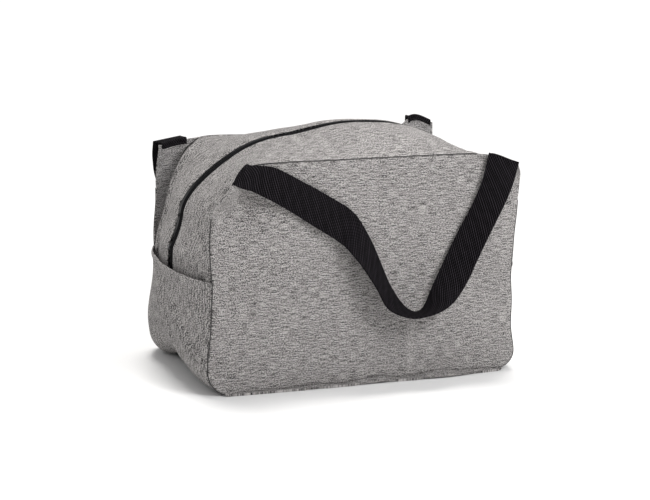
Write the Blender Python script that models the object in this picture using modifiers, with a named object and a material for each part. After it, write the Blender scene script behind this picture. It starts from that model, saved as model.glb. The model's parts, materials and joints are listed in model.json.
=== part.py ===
"""Knitting bag: a soft boxy zip bag with a slip pocket at each end and two webbing handles.

Metres, +Z up. The origin is the middle of the base, on the ground. +X runs along the bag's width
and -Y is the front. The front and back panels stand between a base cloth, two end gussets and an
arched zip gusset; the panels' top corners carry on past the arch as free wings, and the handles
hang from those wings.

The panels and the zip gusset are cloth that bends when the bag is opened. Here each is split at a
fold line, and the part above it swings as one: everything that belongs to the front half turns
about the front fold line, and everything in the back half turns about the back one. The zip runs
in one circular arc, so its slider turns about that arc's centre.
"""

import math

import bmesh
import bpy
from mathutils import Matrix, Vector

# Driving dimensions of the bag
PANEL_WIDTH = 0.346
PANEL_HEIGHT = 0.242
BAG_DEPTH = 0.230
BASE_CORNER_RADIUS = 0.024
TOP_CORNER_RADIUS = 0.004
CLOTH = 0.0025
FACING = 0.0016
GAP = 0.0003

# Height of the line that the opened halves turn about, and where their share of the zip gusset ends
FOLD_HEIGHT = 0.070
HALF_FOOT_HEIGHT = 0.160

# End gussets and slip pockets
HEM_HEIGHT = 0.120
END_FOOT_HEIGHT = 0.0275
GUSSET_SEAM_X = 0.1700
GUSSET_BULGE_X = 0.1840
POCKET_SEAM_X = 0.1730
POCKET_BULGE_X = 0.1970

# Seam between the zip gusset and a panel: two leaning sides and a level top, with round corners
ARCH_FOOT_X = 0.168
ARCH_HEAD_X = 0.139
ARCH_TOP = 0.240
ARCH_CORNER_RADIUS = 0.022
STRIP_SEAM_CLEARANCE = 0.0010

# Zip
ZIP_RADIUS = 0.1975
ZIP_CENTRE_HEIGHT = 0.0705
ZIP_STRAIGHT_BELOW = 0.140
ZIP_SLOT = 0.0035
COIL_OUTER_EDGE = 0.0030
COIL_INNER_EDGE = 0.0008
COIL_TOP_RADIUS = 0.1968
COIL_HEIGHT = 0.0027
TAPE_TOP_RADIUS = 0.1938
TAPE_THICKNESS = 0.0008
TAPE_OUTER_EDGE = 0.0150
STOP_HEIGHT = 0.1395
STOP_SIZE = (0.0013, 0.0056, 0.0030)
SLIDER_REST_HEIGHT = 0.150
SLIDER_LENGTH = 0.013
SLIDER_HALF_WIDTH = 0.0045
SLIDER_WEB = 0.0005
SLIDER_PLATE = 0.0012
SLIDER_TOP_RADIUS = 0.1997
SLIDER_UNDER_RADIUS = 0.1912
TAB_LENGTH = 0.023
TAB_HALF_WIDTH = 0.0032
TAB_THICKNESS = 0.0010
TAB_AXIS_RISE = 0.0009

# Handles
WEBBING_WIDTH = 0.032
WEBBING = 0.0016
HANDLE_END_X = 0.155
HANDLE_AXIS_Y = 0.1190
HANDLE_AXIS_HEIGHT = 0.236
HANDLE_WRAP_FOOT = 0.2335
HANDLE_WRAP_LIP = 0.2365

# Sizes that follow from them
HALF_WIDTH = PANEL_WIDTH / 2
HALF_DEPTH = BAG_DEPTH / 2
PANEL_INNER_Y = HALF_DEPTH - CLOTH
SEAM_Y = PANEL_INNER_Y - GAP
ZIP_REST_ANGLE = math.asin((SLIDER_REST_HEIGHT - ZIP_CENTRE_HEIGHT) / ZIP_RADIUS)

MATERIALS = {
    "melange_cloth": ((0.31, 0.29, 0.275), 0.92, 0.0),
    "melange_facing": ((0.27, 0.255, 0.245), 0.92, 0.0),
    "seam_binding": ((0.05, 0.05, 0.052), 0.85, 0.0),
    "webbing": ((0.012, 0.011, 0.012), 0.70, 0.0),
    "zip_tape": ((0.014, 0.014, 0.015), 0.85, 0.0),
    "zip_coil": ((0.016, 0.016, 0.017), 0.40, 0.0),
    "zip_metal": ((0.03, 0.03, 0.032), 0.35, 0.9),
}


def clear_scene():
    """Removes whatever the file already holds."""
    for thing in list(bpy.data.objects):
        bpy.data.objects.remove(thing)


def new_collection(name):
    made = bpy.data.collections.new(name)
    bpy.context.scene.collection.children.link(made)
    return made


def new_material(name):
    colour, roughness, metallic = MATERIALS[name]
    made = bpy.data.materials.new(name)
    made.use_nodes = True
    shader = made.node_tree.nodes["Principled BSDF"]
    shader.inputs["Base Color"].default_value = (*colour, 1.0)
    shader.inputs["Roughness"].default_value = roughness
    shader.inputs["Metallic"].default_value = metallic
    made.diffuse_color = (*colour, 1.0)
    return made


def add_object(name, data, material):
    """Puts a mesh or curve in the bag's collection under its node's name."""
    made = bpy.data.objects.new(name, data)
    bag.objects.link(made)
    data.materials.append(materials[material])
    return made


def add_axis(name, location, rotation=(0, 0, 0), parent=None):
    """An empty on a joint's axis, which its moving pieces are parented to."""
    made = bpy.data.objects.new(name, None)
    made.location = location
    made.rotation_euler = rotation
    made.parent = parent
    bag.objects.link(made)
    return made


def hang_on(piece, axis):
    """Parents a piece that was made in place to an axis, and leaves it where it is."""
    bpy.context.view_layer.update()
    piece.parent = axis
    piece.matrix_parent_inverse = axis.matrix_world.inverted()


def arc(centre, radius, start, end, steps):
    """Points on a circular arc in a plane, from start to end degrees."""
    angles = [math.radians(start + (end - start) * i / steps) for i in range(steps + 1)]
    return [(centre[0] + radius * math.cos(a), centre[1] + radius * math.sin(a)) for a in angles]


def anticlockwise(outline):
    pairs = zip(outline, outline[1:] + outline[:1])
    turn = sum(a[0] * b[1] - b[0] * a[1] for a, b in pairs)
    return outline if turn > 0 else outline[::-1]


def plate(name, outlines, thickness, material, location, rotation):
    """A flat piece: outlines in a plane, the first one the edge and the rest holes."""
    curve = bpy.data.curves.new(name, "CURVE")
    curve.dimensions = "2D"
    curve.fill_mode = "BOTH"
    curve.extrude = thickness / 2
    for outline in outlines:
        spline = curve.splines.new("POLY")
        spline.points.add(len(outline) - 1)
        spline.use_cyclic_u = True
        for point, (x, y) in zip(spline.points, anticlockwise(outline)):
            point.co = (x, y, 0, 1)
    made = add_object(name, curve, material)
    made.location = location
    made.rotation_euler = rotation
    return made


def upright_plate(name, outline, near_y, far_y, material):
    """A flat piece that stands in X and Z, between two distances along Y."""
    middle = (near_y + far_y) / 2
    return plate(name, [outline], abs(far_y - near_y), material, (0, middle, 0), (math.pi / 2, 0, 0))


def shell(name, rows, thickness, material, out_from=(0, 0, 0.1), offset=-1.0, missing=()):
    """A sheet through rows of points, given its thickness on the side away from its outer face.

    out_from is a point behind the outer face. missing lists the (row, column) cells left open.
    """
    work = bmesh.new()
    grid = [[work.verts.new(p) for p in row] for row in rows]
    for i, (low, high) in enumerate(zip(grid, grid[1:])):
        for j in range(len(low) - 1):
            if (i, j) not in missing:
                work.faces.new((low[j], low[j + 1], high[j + 1], high[j]))
    work.normal_update()
    facing = sum(f.normal.dot(f.calc_center_median() - Vector(out_from)) for f in work.faces)
    if facing < 0:
        bmesh.ops.reverse_faces(work, faces=work.faces)
    mesh = bpy.data.meshes.new(name)
    work.to_mesh(mesh)
    work.free()
    mesh.shade_smooth()
    made = add_object(name, mesh, material)
    solid = made.modifiers.new("thickness", "SOLIDIFY")
    solid.thickness = thickness
    solid.offset = offset
    solid.use_even_offset = True
    return made


def between(a, b, t):
    return a + (b - a) * t


def swell(t):
    """0 at a seam and 1 at the middle of the bag, full in between as cloth under slight pressure."""
    return math.sin(t * math.pi / 2)


# The bag's lines, as functions of height or of position along the arch


def arch_side_x(height, inset=0.0):
    """Half width of the zip gusset's seam at a height above the hem."""
    share = (height - HEM_HEIGHT) / (ARCH_TOP - HEM_HEIGHT)
    return between(ARCH_FOOT_X, ARCH_HEAD_X, share) - inset


def half_arch(inset, foot, steps=5):
    """The seam's right side as (x, height), from foot up round the corner to the middle of the top."""
    lean = math.degrees(math.atan2(ARCH_FOOT_X - ARCH_HEAD_X, ARCH_TOP - HEM_HEIGHT))
    radius = ARCH_CORNER_RADIUS - inset
    top = ARCH_TOP - inset
    corner_height = ARCH_TOP - ARCH_CORNER_RADIUS
    slope = math.radians(lean)
    corner_x = arch_side_x(corner_height) - ARCH_CORNER_RADIUS / math.cos(slope)
    points = [(arch_side_x(foot, inset), foot)]
    points += arc((corner_x, corner_height), radius, lean, 90, steps)
    points.append((0.0, top))
    return points


def along(points, share):
    """The point at a share of a line's length."""
    lengths = [math.dist(a, b) for a, b in zip(points, points[1:])]
    left = share * sum(lengths)
    for (a, b), length in zip(zip(points, points[1:]), lengths):
        if left <= length:
            return between(a[0], b[0], left / length), between(a[1], b[1], left / length)
        left -= length
    return points[-1]


def zip_x(height, radius=ZIP_RADIUS):
    """Half width of the zip line at a height near its ends."""
    rise = max(height, ZIP_STRAIGHT_BELOW) - ZIP_CENTRE_HEIGHT
    return math.sqrt(ZIP_RADIUS**2 - rise**2) - (ZIP_RADIUS - radius)


def zip_point(share, radius=ZIP_RADIUS):
    """A point on the zip arc of the halves, at a share of its right side from foot to top."""
    foot = math.asin((HALF_FOOT_HEIGHT + 0.0005 - ZIP_CENTRE_HEIGHT) / ZIP_RADIUS)
    angle = between(foot, math.pi / 2, share)
    return radius * math.cos(angle), ZIP_CENTRE_HEIGHT + radius * math.sin(angle)


def both_sides(half):
    """A right-hand line from foot to top, continued down the left side as its mirror image."""
    return half + [(-x, z) for x, z in half[-2::-1]]


# Sub-parts


def make_base():
    left = arc((-HALF_WIDTH + BASE_CORNER_RADIUS, BASE_CORNER_RADIUS), BASE_CORNER_RADIUS, 180, 270, 6)
    right = [(-x, z) for x, z in left[::-1]]
    outer = [(-HALF_WIDTH, END_FOOT_HEIGHT - 0.001)] + left + right
    outer.append((HALF_WIDTH, END_FOOT_HEIGHT - 0.001))
    rows = [[(x, y, z) for y in (-SEAM_Y, SEAM_Y)] for x, z in outer]
    shell("bottom_panel", rows, CLOTH, "melange_cloth")


def make_panels(side, word, axis):
    """A front or back panel: one cloth, split here at the fold line. side is -1 for the front."""
    left = arc((-HALF_WIDTH + BASE_CORNER_RADIUS, BASE_CORNER_RADIUS), BASE_CORNER_RADIUS, 180, 270, 6)
    right = [(-x, z) for x, z in left[::-1]]
    lower = [(-HALF_WIDTH, FOLD_HEIGHT - GAP)] + left + right + [(HALF_WIDTH, FOLD_HEIGHT - GAP)]
    upright_plate(f"{word}_panel_lower", lower, side * PANEL_INNER_Y, side * HALF_DEPTH, "melange_cloth")
    corner = (HALF_WIDTH - TOP_CORNER_RADIUS, PANEL_HEIGHT - TOP_CORNER_RADIUS)
    top = arc(corner, TOP_CORNER_RADIUS, 0, 90, 3)
    upper = [(HALF_WIDTH, FOLD_HEIGHT)] + top + [(-x, z) for x, z in top[::-1]] + [(-HALF_WIDTH, FOLD_HEIGHT)]
    made = upright_plate(
        f"{word}_panel_upper", upper, side * PANEL_INNER_Y, side * HALF_DEPTH, "melange_cloth"
    )
    hang_on(made, axis)


def make_wing_facings(side, word, axis):
    """The wings' inner layer, outside the arch seam at each top corner of a panel."""
    seam_clearance = 0.0015
    edge = half_arch(-seam_clearance, HALF_FOOT_HEIGHT + 0.0005)[:4]
    outer_x = HALF_WIDTH - 0.0005
    top = PANEL_HEIGHT - 0.0005
    right = edge + [(edge[-1][0] - 0.004, top), (outer_x, top), (outer_x, edge[0][1])]
    for mirror, hand in ((-1, "left"), (1, "right")):
        outline = [(mirror * x, z) for x, z in right]
        near = side * SEAM_Y
        far = side * (SEAM_Y - FACING)
        made = upright_plate(f"{word}_{hand}_wing_facing", outline, near, far, "melange_facing")
        hang_on(made, axis)


def make_seam_bindings(side, word, axis):
    """The tape that binds the raw edges of a panel's seam inside the bag, above and below the fold."""
    outer_inset, inner_inset = 0.0050, 0.0140
    lower_x = GUSSET_SEAM_X - CLOTH - 0.0025
    width = inner_inset - outer_inset
    rise = CLOTH + 0.001
    near, far = side * SEAM_Y, side * (SEAM_Y - 0.0015)

    outer = [(lower_x, FOLD_HEIGHT)] + half_arch(outer_inset, HEM_HEIGHT)
    inner = [(lower_x - width, FOLD_HEIGHT)] + half_arch(inner_inset, HEM_HEIGHT)
    upper = both_sides(outer) + both_sides(inner)[::-1]
    hang_on(upright_plate(f"{word}_seam_binding_upper", upper, near, far, "seam_binding"), axis)

    corner_radius = BASE_CORNER_RADIUS - rise
    centre = (lower_x - corner_radius, rise + corner_radius)
    outer = [(lower_x, FOLD_HEIGHT - GAP)] + arc(centre, corner_radius, 0, -90, 5) + [(0.0, rise)]
    inner = [(lower_x - width, FOLD_HEIGHT - GAP)] + arc(centre, corner_radius - width, 0, -90, 5)
    inner.append((0.0, rise + width))
    lower = both_sides(outer) + both_sides(inner)[::-1]
    upright_plate(f"{word}_seam_binding_lower", lower, near, far, "seam_binding")


def end_shell_rows(mirror, seam_x, bulge_x, foot_share, full_height, top):
    """Rows of points on an end gusset or pocket, which bulges between the two panels."""
    heights = [between(END_FOOT_HEIGHT, top, i / 6) for i in range(7)]
    depths = [between(-1, 1, j / 8) for j in range(9)]
    rows = []
    for z in heights:
        rise = min(1.0, (z - END_FOOT_HEIGHT) / (full_height - END_FOOT_HEIGHT))
        bulge = (bulge_x - seam_x) * between(foot_share, 1.0, math.sin(rise * math.pi / 2))
        lean = (GUSSET_SEAM_X - ARCH_FOOT_X) * max(0.0, (z - END_FOOT_HEIGHT) / (top - END_FOOT_HEIGHT))
        rows.append([(mirror * (seam_x - lean + bulge * swell(1 - abs(d))), d * SEAM_Y, z) for d in depths])
    return rows


def make_ends():
    for mirror, hand in ((-1, "left"), (1, "right")):
        rows = end_shell_rows(mirror, GUSSET_SEAM_X, GUSSET_BULGE_X, 0.35, 0.065, HEM_HEIGHT - 0.0003)
        shell(f"{hand}_side_gusset", rows, CLOTH, "melange_cloth")
        rows = end_shell_rows(mirror, POCKET_SEAM_X, POCKET_BULGE_X, 0.23, 0.080, HEM_HEIGHT)
        shell(f"{hand}_side_pocket", rows, CLOTH, "melange_cloth")


def strip_row(seam, crest, side):
    """Points across a zip gusset strip, from its seam with the panel to its edge at the zip."""
    row = []
    for j in range(5):
        share = j / 4
        full = swell(share)
        y = side * between(SEAM_Y - STRIP_SEAM_CLEARANCE, ZIP_SLOT, share)
        row.append((between(seam[0], crest[0], full), y, between(seam[1], crest[1], full)))
    return row


def make_gusset_strips(side, word, axis):
    """Half of the arched zip gusset: the strip that opens, and its two ends above the pockets."""
    steps = 12
    seam = half_arch(0.0, HALF_FOOT_HEIGHT + 0.0005)
    right = [(along(seam, i / steps), zip_point(i / steps)) for i in range(steps + 1)]
    left = [((-a[0], a[1]), (-b[0], b[1])) for a, b in right[-2::-1]]
    rows = [strip_row(a, b, side) for a, b in right + left]
    centre = (0, 0, ZIP_CENTRE_HEIGHT)
    hang_on(shell(f"gusset_strip_{word}", rows, CLOTH, "melange_cloth", centre), axis)
    for mirror, hand in ((-1, "left"), (1, "right")):
        rows = []
        for i in range(5):
            z = between(HEM_HEIGHT + 0.0005, HALF_FOOT_HEIGHT - 0.0003, i / 4)
            rows.append(strip_row((mirror * arch_side_x(z), z), (mirror * zip_x(z), z), side))
        shell(f"gusset_strip_{word}_{hand}_end", rows, CLOTH, "melange_cloth", centre)


def zip_band(name, radius, near, far, thickness, material, side, axis):
    """Half of the zip's tape or coil along the opening part of the arch."""
    steps = 14
    right = [zip_point(i / steps, radius) for i in range(steps + 1)]
    rows = [[(x, side * near, z), (x, side * far, z)] for x, z in both_sides(right)]
    hang_on(shell(name, rows, thickness, material, (0, 0, ZIP_CENTRE_HEIGHT)), axis)


def make_zip_halves(side, word, axis):
    tape = (TAPE_TOP_RADIUS, COIL_INNER_EDGE, TAPE_OUTER_EDGE, TAPE_THICKNESS, "zip_tape")
    coil = (COIL_TOP_RADIUS, COIL_INNER_EDGE, COIL_OUTER_EDGE, COIL_HEIGHT, "zip_coil")
    zip_band(f"zip_tape_{word}", *tape, side, axis)
    zip_band(f"zip_coil_{word}", *coil, side, axis)


def make_zip_ends():
    """The closed last stretch of zip at each end: a fork whose slot takes the slider's web."""
    columns = (-COIL_OUTER_EDGE, -COIL_INNER_EDGE, COIL_INNER_EDGE, COIL_OUTER_EDGE)
    foot = HEM_HEIGHT + 0.0015
    slot_foot = foot + 0.005
    top = HALF_FOOT_HEIGHT - 0.0005
    heights = [foot] + [between(slot_foot, top, i / 6) for i in range(7)]
    slot = {(i, 1) for i in range(1, len(heights) - 1)}
    for mirror, hand in ((-1, "left"), (1, "right")):
        rows = [[(mirror * zip_x(z, COIL_TOP_RADIUS), y, z) for y in columns] for z in heights]
        thickness = COIL_TOP_RADIUS - TAPE_TOP_RADIUS + TAPE_THICKNESS
        shell(f"zip_{hand}_end", rows, thickness, "zip_coil", missing=slot)
        turn = math.asin((STOP_HEIGHT - ZIP_CENTRE_HEIGHT) / ZIP_RADIUS)
        bpy.ops.mesh.primitive_cube_add(size=1)
        stop = bpy.context.object
        stop.name = f"zip_{hand}_stop"
        stop.data.transform(Matrix.Diagonal((*STOP_SIZE, 1)))
        stop.data.materials.append(materials["zip_metal"])
        reach = COIL_TOP_RADIUS + GAP + STOP_SIZE[0] / 2
        stop.location = (mirror * reach * math.cos(turn), 0, ZIP_CENTRE_HEIGHT + reach * math.sin(turn))
        stop.rotation_euler = (0, -mirror * turn, 0)
        for home in list(stop.users_collection):
            home.objects.unlink(stop)
        bag.objects.link(stop)
        edge = stop.modifiers.new("rounding", "BEVEL")
        edge.width = 0.0003
        edge.segments = 1


def as_mesh(thing):
    """Replaces a curve object by the mesh it makes, so that a Boolean can use it."""
    bpy.context.view_layer.update()
    graph = bpy.context.evaluated_depsgraph_get()
    mesh = bpy.data.meshes.new_from_object(thing.evaluated_get(graph))
    work = bmesh.new()
    work.from_mesh(mesh)
    bmesh.ops.remove_doubles(work, verts=work.verts, dist=0.00001)
    work.to_mesh(mesh)
    work.free()
    name, place, home = thing.name, thing.matrix_world.copy(), thing.users_collection[0]
    bpy.data.objects.remove(thing)
    made = bpy.data.objects.new(name, mesh)
    made.matrix_world = place
    home.objects.link(made)
    return made


def make_slider(axis):
    """Slider body: two plates joined by a web that runs between the coils, and a bridge on top.

    In the axis's own directions X points out of the bag, Y across the zip and Z along it.
    """
    out, under = SLIDER_TOP_RADIUS, SLIDER_UNDER_RADIUS
    wide, lower_wide = SLIDER_HALF_WIDTH, SLIDER_HALF_WIDTH - 0.0004
    half = [
        (out, wide),
        (out - SLIDER_PLATE, wide),
        (out - SLIDER_PLATE, SLIDER_WEB),
        (under + 0.001, SLIDER_WEB),
        (under + 0.001, lower_wide),
        (under, lower_wide),
    ]
    section = half + [(x, -y) for x, y in half[::-1]]
    body = as_mesh(plate("zip_slider", [section], SLIDER_LENGTH, "zip_metal", (0, 0, 0), (0, 0, 0)))
    leg_out, leg_in, bar_low, bar_high = 0.0034, 0.0024, 0.0020, 0.0030
    bridge = [
        (out - 0.0004, -leg_out),
        (out + bar_high, -leg_out),
        (out + bar_high, leg_out),
        (out - 0.0004, leg_out),
        (out - 0.0004, leg_in),
        (out + bar_low, leg_in),
        (out + bar_low, -leg_in),
        (out - 0.0004, -leg_in),
    ]
    arch = as_mesh(plate("slider_bridge", [bridge], 0.0026, "zip_metal", (0, 0, 0), (math.pi / 2, 0, 0)))
    bag.objects.unlink(arch)
    cutters.objects.link(arch)
    arch.hide_render = True
    arch.display_type = "WIRE"
    for piece in (body, arch):
        piece.parent = axis
    union = body.modifiers.new("bridge", "BOOLEAN")
    union.operation = "UNION"
    union.object = arch


def make_pull_tab(axis):
    """Pull tab: a plate whose eye is threaded through the slider's bridge. It hangs towards -Z."""
    wide = TAB_HALF_WIDTH
    crossbar, eye_end = 0.0006, 0.0045
    eye_half = 0.0019
    round_end = arc((0, -TAB_LENGTH + wide), wide, 180, 360, 8)
    edge = [(-wide, crossbar)] + round_end + [(wide, crossbar)]
    eye = [(-eye_half, -crossbar), (eye_half, -crossbar), (eye_half, -eye_end), (-eye_half, -eye_end)]
    grip_centre_low, grip_centre_high, grip = -TAB_LENGTH + wide, -0.0125, 0.0014
    low = arc((0, grip_centre_low), grip, 180, 360, 6)
    high = arc((0, grip_centre_high), grip, 0, 180, 6)
    turned = (math.pi / 2, 0, math.pi / 2)
    made = plate("zip_pull_tab", [edge, eye, low + high], TAB_THICKNESS, "zip_metal", (0, 0, 0), turned)
    made.parent = axis


def smooth_line(points, steps):
    """A Catmull-Rom curve through the points, with steps pieces between each two."""
    ends = [2 * points[0] - points[1]] + points + [2 * points[-1] - points[-2]]
    line = []
    for a, b, c, d in zip(ends, ends[1:], ends[2:], ends[3:]):
        for i in range(steps):
            t = i / steps
            bend = 2 * b + (c - a) * t + (2 * a - 5 * b + 4 * c - d) * t**2 + (3 * b - a - 3 * c + d) * t**3
            line.append(bend * 0.5)
    line.append(points[-1])
    return line


# Each handle's route at rest: the webbing's middle, and the direction from its inner to its outer edge.
# The front handle hangs to the right of the middle, edge on at its lowest point.
FRONT_ROUTE = [
    ((-0.155, -0.1190, 0.2322), (-1.0, 0.0, 0.0)),
    ((-0.148, -0.1195, 0.216), (-0.75, 0.0, -0.66)),
    ((-0.128, -0.1205, 0.204), (-0.40, 0.0, -0.92)),
    ((-0.090, -0.1215, 0.195), (-0.35, 0.0, -0.94)),
    ((-0.045, -0.1225, 0.180), (-0.50, -0.10, -0.86)),
    ((-0.015, -0.1290, 0.156), (-0.75, -0.50, -0.43)),
    ((0.004, -0.1370, 0.120), (-0.72, -0.68, -0.05)),
    ((0.024, -0.1395, 0.091), (-0.65, -0.75, 0.0)),
    ((0.046, -0.1410, 0.082), (-0.20, -0.97, 0.02)),
    ((0.070, -0.1400, 0.092), (0.45, -0.86, -0.20)),
    ((0.096, -0.1330, 0.124), (0.78, -0.50, -0.38)),
    ((0.120, -0.1280, 0.166), (0.85, -0.40, -0.34)),
    ((0.146, -0.1220, 0.210), (0.96, -0.15, -0.20)),
    ((0.155, -0.1190, 0.2322), (1.0, 0.0, 0.0)),
]
BACK_HALF_ROUTE = [
    ((-0.155, 0.1190, 0.2322), (-1.0, 0.0, 0.0)),
    ((-0.150, 0.1200, 0.212), (-0.96, 0.05, -0.26)),
    ((-0.126, 0.1225, 0.168), (-0.85, 0.20, -0.48)),
    ((-0.090, 0.1260, 0.124), (-0.72, 0.42, -0.55)),
    ((-0.045, 0.1300, 0.094), (-0.45, 0.72, -0.52)),
    ((0.0, 0.1320, 0.086), (0.0, 0.96, -0.28)),
]


def make_handle(word, route, axis):
    """A handle's free webbing, between its two sewn ends."""
    middles = smooth_line([Vector(p) for p, _ in route], 2)
    outward = smooth_line([Vector(w).normalized() for _, w in route], 2)
    half = WEBBING_WIDTH / 2
    rows = [[m - w.normalized() * half, m + w.normalized() * half] for m, w in zip(middles, outward)]
    hang_on(shell(f"{word}_handle", rows, WEBBING, "webbing", offset=0.0), axis)


def make_handle_ends(side, word, axis):
    """Each handle end's sewn stretch: it wraps over the wing's top edge, with a short lip inside."""
    outer = HALF_DEPTH + GAP
    inner = SEAM_Y - FACING - GAP
    top = PANEL_HEIGHT + GAP
    profile = [
        (outer, HANDLE_WRAP_FOOT),
        (outer + WEBBING, HANDLE_WRAP_FOOT),
        (outer + WEBBING, top + WEBBING),
        (inner - WEBBING, top + WEBBING),
        (inner - WEBBING, HANDLE_WRAP_LIP),
        (inner, HANDLE_WRAP_LIP),
        (inner, top),
        (outer, top),
    ]
    outline = [(side * y, z) for y, z in profile]
    turned = (math.pi / 2, 0, math.pi / 2)
    for mirror, hand in ((-1, "left"), (1, "right")):
        place = (mirror * HANDLE_END_X, 0, 0)
        made = plate(f"{word}_handle_{hand}_end", [outline], WEBBING_WIDTH, "webbing", place, turned)
        hang_on(made, axis)


clear_scene()
bag = new_collection("knitting_bag")
cutters = new_collection("cutters")
materials = {name: new_material(name) for name in MATERIALS}

make_base()
make_ends()
make_zip_ends()

back_route = BACK_HALF_ROUTE + [((-p[0], p[1], p[2]), (-w[0], w[1], w[2])) for p, w in BACK_HALF_ROUTE[-2::-1]]
for side, word, route in ((-1, "front", FRONT_ROUTE), (1, "back", back_route)):
    fold_axis = add_axis(f"{word}_open_axis", (0, side * HALF_DEPTH, FOLD_HEIGHT))
    handle_axis = add_axis(f"{word}_handle_axis", (0, side * HANDLE_AXIS_Y, HANDLE_AXIS_HEIGHT))
    hang_on(handle_axis, fold_axis)
    make_panels(side, word, fold_axis)
    make_wing_facings(side, word, fold_axis)
    make_seam_bindings(side, word, fold_axis)
    make_gusset_strips(side, word, fold_axis)
    make_zip_halves(side, word, fold_axis)
    make_handle_ends(side, word, fold_axis)
    make_handle(word, route, handle_axis)

slider_axis = add_axis("zip_slider_axis", (0, 0, ZIP_CENTRE_HEIGHT), (0, -ZIP_REST_ANGLE, 0))
make_slider(slider_axis)
tab_place = (SLIDER_TOP_RADIUS + TAB_AXIS_RISE, 0, 0)
tab_axis = add_axis("zip_pull_tab_axis", tab_place, parent=slider_axis)
make_pull_tab(tab_axis)
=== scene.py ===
"""Knitting bag: the looks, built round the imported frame.

Metres, in the frame's own axes: +X along the bag's width, -Y the front, +Z up. Each cloth piece is a
grid of points with its flat pattern as its UV map, also in metres, so that the weave follows the cloth.
On the ends and the zip gusset the weave is drawn wider from front to back: see SIDE_WEAVE. Both panels
share one map from flat pattern to hung shape, panel_point, and all that is sewn to a panel asks that
map where the panel is.
"""

import json
import math

import bpy
import numpy as np
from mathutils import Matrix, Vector


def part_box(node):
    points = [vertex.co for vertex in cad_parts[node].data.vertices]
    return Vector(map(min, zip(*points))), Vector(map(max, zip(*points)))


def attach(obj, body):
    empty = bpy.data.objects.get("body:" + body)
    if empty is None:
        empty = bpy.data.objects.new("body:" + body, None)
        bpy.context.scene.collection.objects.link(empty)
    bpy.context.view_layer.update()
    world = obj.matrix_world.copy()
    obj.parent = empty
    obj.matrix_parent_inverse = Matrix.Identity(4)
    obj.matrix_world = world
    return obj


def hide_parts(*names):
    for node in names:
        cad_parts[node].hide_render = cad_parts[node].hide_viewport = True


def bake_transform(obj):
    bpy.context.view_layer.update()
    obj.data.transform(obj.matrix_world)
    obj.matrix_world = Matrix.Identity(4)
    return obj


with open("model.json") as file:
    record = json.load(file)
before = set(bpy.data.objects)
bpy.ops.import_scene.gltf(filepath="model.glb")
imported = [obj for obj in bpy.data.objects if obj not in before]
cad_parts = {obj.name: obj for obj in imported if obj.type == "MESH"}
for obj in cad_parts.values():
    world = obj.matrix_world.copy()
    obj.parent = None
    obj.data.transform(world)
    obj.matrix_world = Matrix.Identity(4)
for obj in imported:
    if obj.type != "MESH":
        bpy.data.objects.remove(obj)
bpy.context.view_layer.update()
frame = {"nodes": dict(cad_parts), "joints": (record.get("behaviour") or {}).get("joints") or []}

# Sizes that come from the frame
panel_low, panel_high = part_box("front_panel_upper")
HALF_WIDTH = panel_high.x
PANEL_TOP = panel_high.z
HALF_DEPTH = -panel_low.y
HEM_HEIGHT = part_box("left_side_pocket")[1].z
ZIP_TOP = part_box("zip_coil_front")[1].z
slider_joint = next(j for j in frame["joints"] if j["name"] == "zip_slider_travel")
ZIP_CENTRE_HEIGHT = slider_joint["pos_m"][2]
ZIP_RADIUS = ZIP_TOP - ZIP_CENTRE_HEIGHT
handle_end_low, handle_end_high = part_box("front_handle_right_end")
WEBBING_WIDTH = handle_end_high.x - handle_end_low.x

# Cloth: thicknesses, the step of a panel's grid, and the round of its bottom corners
CLOTH = 0.0012
WEBBING = 0.0015
FINE = 0.0025
BASE_CORNER = 0.024
# How far the bottom's left end has come up off the ground
BASE_LIFT = 0.019
# The weave's scale from front to back on the ends and the zip gusset, where 1 is true
SIDE_WEAVE = 0.55
# A point inside the bag, which its cloth faces away from
INSIDE = (0, 0, 0.1)
POCKET_INSIDE = (0, 0, 0.08)
FRONT, BACK = -1, 1
SIDES = ((FRONT, "front"), (BACK, "back"))
HANDS = ((-1, "left"), (1, "right"))

# Arch seam on a panel's flat pattern
ARCH_FOOT_X = 0.1690
ARCH_HEAD_X = 0.1390
ARCH_TOP = 0.2412
ARCH_CORNER = 0.024
STRIP_FOOT = 0.092

# Zip line: a three-centred arch, which joins the slider's circle near its ends
ZIP_TOP_ARC = 0.311
ZIP_HAUNCH_ARC = 0.140
ZIP_HAUNCH_TURN = math.radians(15.7)
ZIP_CIRCLE_UP_TO = math.radians(21)
ZIP_ARCH_FROM = math.radians(33)
ZIP_STRAIGHT_BELOW = 0.140
# The arch leans to the right above this height, by this much at the top
ZIP_LEAN = 0.011
ZIP_LEAN_FROM = 0.185
ZIP_LEAN_OVER = 0.065
# It's fuller on the right and flatter on the left, each about this place in x
ZIP_RIGHT_RISE, ZIP_RIGHT_PLACE, ZIP_RIGHT_REACH = 0.0025, 0.075, 0.035
ZIP_LEFT_DROP, ZIP_LEFT_PLACE, ZIP_LEFT_REACH = 0.0048, -0.042, 0.040
# Where the tab lies along the zip at the end of the slider's travel, the zip is drawn in
TAB_ROOM, TAB_HEIGHT, TAB_REACH = 0.0030, 0.169, 0.018
# Half the gap between the two cloth edges
ZIP_GAP = 0.0080

# The left end's lowest back corner swells out by this much more
LOW_CORNER_BULGE = 0.0085


# Curves and smooth steps


def between(a, b, t):
    return a + (b - a) * t


def hill(x, centre, width):
    """1 at the centre, falling off smoothly over about the width to each side."""
    return np.exp(-(((x - centre) / width) ** 2))


def smooth(t):
    t = np.clip(t, 0, 1)
    return t * t * (3 - 2 * t)


def unit(v):
    return v / np.maximum(np.linalg.norm(v, axis=-1, keepdims=True), 1e-9)


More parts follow.
